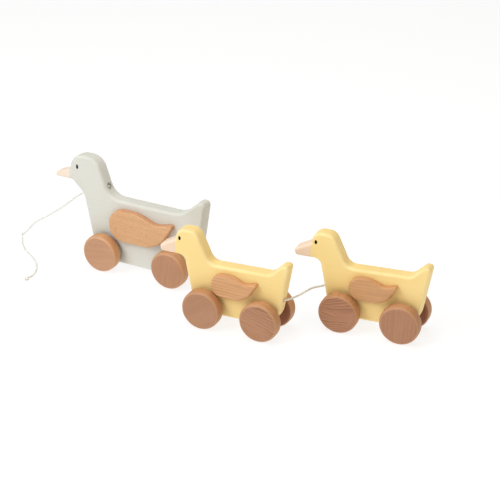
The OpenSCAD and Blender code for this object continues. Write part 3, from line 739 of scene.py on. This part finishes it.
def add_board(duck, shape):
    """A duck's board with its holes, and the beak as a piece of its own."""
    cutter = bmesh.new()
    for end in (-1, 1):
        cross_rod_into(cutter, end * shape["wheelbase"] / 2, 0, AXLE_HOLE_R, BOARD_T)
    for x, z in WING_DOWELS:
        cross_rod_into(cutter, *on_wing(shape["wing"], x, z), DOWEL_HOLE_R, BOARD_T)
    for name, way, joint in TOW_ENDS[duck]:
        depth = PLUG_L + KNOT_D + 2 * GLUE_GAP
        rod_into(cutter, KNOT_HOLE_R, -depth, PLUG_L, end_frame(duck, joint, way))
    if duck == "mother":
        steps = ((KNOT_HOLE_R, -NECK_HOLE, 0), (KNOT_HOLE_R, NECK_HOLE, 0), (CORD_HOLE_R, NECK_HOLE, 0),
                 (CORD_HOLE_R, NECK_L + NECK_HOLE, 0))
        lathe_into(cutter, steps, HOLE_SIDES, neck_frame())
    board = drilled(plate(rounded(shape["corners"]), board_sections()), cutter)
    beak = board.copy()
    cut_at(board, -shape["face"], keep_ahead=False)
    cut_at(beak, -shape["face"], keep_ahead=True)
    thin_paint_and_highlight_on_board(board)
    thin_paint_and_highlight_on_board(beak)
    add_piece(duck + "_board", board, own_frame[duck], duck, shape["paint"],
              [duck + "_body"], FACE_UP)
    add_piece(duck + "_bill", beak, own_frame[duck], duck, shape["beak_paint"],
              [duck + "_beak"], FACE_UP)


def add_wing(duck, shape, side, way, material, tilt):
    wing = shape["wing"]
    corners = [(*on_wing(wing, x, z), wing["height"] * r) for x, z, r in WING_SHAPE]
    cutter = bmesh.new()
    for x, z in WING_DOWELS:
        cross_rod_into(cutter, *on_wing(wing, x, z), DOWEL_HOLE_R, BOARD_T / 2 + WING_HOLE)
    carved = drilled(plate(rounded(corners), wing_sections(way)), cutter)
    mark_wing_sides(carved)
    grain = Matrix.Rotation(math.radians(tilt), 4, "Y") @ FACE_UP
    add_piece(f"{duck}_carved_wing_{side}", carved, own_frame[duck], duck, material,
              [f"{duck}_wing_{side}"], grain)


def add_eyes(duck, shape):
    bm = bmesh.new()
    width, height = shape["eye_size"]
    ahead, up = shape["eye"]
    angles = [math.radians(degrees) for degrees in EYE_DOME_DEGREES]
    dome = [(height / 2 * math.cos(a), EYE_T * math.sin(a), 0) for a in angles]
    narrow = Matrix.Diagonal((width / height, 1, 1, 1))
    for way in (-1, 1):
        outwards = Matrix.Rotation(-way * RIGHT_ANGLE, 4, "X")
        at = Matrix.Translation((-ahead, way * BOARD_T / 2, up)) @ outwards @ narrow
        lathe_into(bm, dome, HOLE_SIDES, at)
    add_piece(duck + "_printed_eyes", bm, own_frame[duck], duck, "eye_ink", [duck + "_eyes"])


def add_wheel(duck, shape, end, side, material, turn, tone):
    bm = bmesh.new()
    outer = [(WHEEL_R - inset, WHEEL_W - WHEEL_EDGE + z, rim_highlight) for inset, z, rim_highlight in quarter(WHEEL_EDGE)]
    inner = [(r, WHEEL_W - z, rim_highlight) for r, z, rim_highlight in reversed(outer)]
    profile = [(WHEEL_HOLE_R, WHEEL_HOLE, 0), (WHEEL_HOLE_R, 0, 0), *inner, *outer]
    lathe_into(bm, profile, WHEEL_SIDES)
    tread_layer = float_layer(bm, "tread")
    tone_and_shade_layer = float_layer(bm, "tone")
    for vert in bm.verts:
        vert[tread_layer] = 1 if vert.co.xy.length > TREAD_FROM_R else 0
        # Painted shade on the inner face, the wheel's own wood tone elsewhere
        vert[tone_and_shade_layer] = INNER_FACE_SHADE if vert.co.z < INNER_TO_Z else tone
    way = -1 if side == "left" else 1
    ahead = shape["wheelbase"] / 2 * (1 if end == "front" else -1)
    place = Vector((-ahead, way * (BOARD_T / 2 + WHEEL_GAP), 0)) * MM
    at = own_frame[duck] @ Matrix.Translation(place) @ Matrix.Rotation(-way * RIGHT_ANGLE, 4, "X")
    add_piece(f"{duck}_{end}_{side}_turned_wheel", bm, at, f"{duck}_{end}_wheelset", material,
              [f"{duck}_{end}_{side}_wheel"], Matrix.Rotation(math.radians(turn), 4, "Z"))


def add_held_knot(name, duck, node, at, knot_z, cord_from, cord_to):
    """A knot inside a duck, with the stretch of cord on it, along the Z axis of a frame."""
    bm = bmesh.new()
    knot_into(bm, at @ Matrix.Translation((0, 0, knot_z)), KNOT_D - KNOT_SLACK)
    stretch = [at @ Vector((0, 0, z)) for z in (cord_from, cord_to)]
    cord_into(bm, smooth_route(stretch, CORD_STEP)[0], CORD_D / 2)
    add_piece(name, bm, own_frame[duck], duck, "cord", [node])


for duck, shape in DUCKS.items():
    add_board(duck, shape)
    add_eyes(duck, shape)
    for side, way in (("left", -1), ("right", 1)):
        add_wing(duck, shape, side, way, *WINGS[duck])
    for place, (material, turn, tone) in WHEELS[duck].items():
        add_wheel(duck, shape, *place.split("_"), material, turn, tone)
    for name, way, joint in TOW_ENDS[duck]:
        add_held_knot(f"{duck}_{name}_overhand", duck, f"{duck}_{name}_knot", end_frame(duck, joint, way),
                      -PLUG_L - KNOT_D / 2 - GLUE_GAP, -PLUG_L - KNOT_D / 2, -CORD_D / 2 - SWING_GAP)
add_held_knot("pull_cord_neck_overhand", "mother", "pull_cord_knot", neck_frame(),
              NECK_HOLE - KNOT_D / 2 - GLUE_GAP, NECK_HOLE - KNOT_D + CORD_D / 4, NECK_L - GLUE_GAP)

# Solids that stay as they are
for name, thing in frame["nodes"].items():
    if name.endswith("_plug"):
        finish = "mother_plug_paint" if name.startswith("mother") else "duckling_plug_paint"
    elif name.endswith(("_axle", "_wing_dowels")):
        finish = "dowel_wood"
    else:
        continue
    thing.data.materials.clear()
    thing.data.materials.append(materials[finish])

# Floor, lit evenly so that it stays pale
floor_mesh = bmesh.new()
bmesh.ops.create_grid(floor_mesh, x_segments=1, y_segments=1, size=FLOOR_HALF_M)
floor_data = bpy.data.meshes.new("floor")
floor_mesh.to_mesh(floor_data)
floor_mesh.free()
floor = bpy.data.objects.new("floor", floor_data)
scene.collection.objects.link(floor)
floor_material = bpy.data.materials.new("floor")
floor_material.use_nodes = True
floor_inputs = floor_material.node_tree.nodes["Principled BSDF"].inputs
floor_inputs["Base Color"].default_value = (FLOOR_GREY, FLOOR_GREY, FLOOR_GREY, 1)
floor_inputs["Roughness"].default_value = FLOOR_ROUGHNESS
floor_inputs["Emission Color"].default_value = WHITE
floor_inputs["Emission Strength"].default_value = FLOOR_GLOW
floor_data.materials.append(floor_material)


# Studio light
def add_light(name, at, target, size, watts, colour=(1, 1, 1)):
    data = bpy.data.lights.new(name, "AREA")
    data.shape = "DISK"
    data.size = size
    data.energy = watts
    data.color = colour
    light = bpy.data.objects.new(name, data)
    scene.collection.objects.link(light)
    light.location = at
    light.rotation_euler = (Vector(target) - Vector(at)).to_track_quat("-Z", "Y").to_euler()


add_light("key", at=(-0.9, -1.5, 1.5), target=(0, 0, 0.05), size=1.4, watts=25.8)
add_light("top", at=(-0.1, 0.15, 1.7), target=(0, 0, 0), size=1.6, watts=18)
add_light("fill", at=(1, -0.4, 1), target=(0.1, 0, 0.05), size=1.1, watts=3.4, colour=WARM_LIGHT)

# A pale horizon that joins the floor, dim above, by the sine of the height over it
world = bpy.data.worlds.new("world")
world.use_nodes = True
sky = world.node_tree
background = sky.nodes["Background"]
way_up = sky.nodes.new("ShaderNodeSeparateXYZ")
sky.links.new(sky.nodes.new("ShaderNodeTexCoord").outputs["Generated"], way_up.inputs[0])
fade = sky.nodes.new("ShaderNodeMapRange")
fade.interpolation_type = "SMOOTHSTEP"
fade.inputs["From Min"].default_value, fade.inputs["From Max"].default_value = SKY_FADE
fade.inputs["To Min"].default_value = HORIZON_GLOW
fade.inputs["To Max"].default_value = SKY_GLOW
sky.links.new(way_up.outputs["Z"], fade.inputs["Value"])
sky.links.new(fade.outputs[0], background.inputs["Strength"])
background.inputs["Color"].default_value = WHITE
scene.world = world
scene.view_settings.view_transform = "Standard"
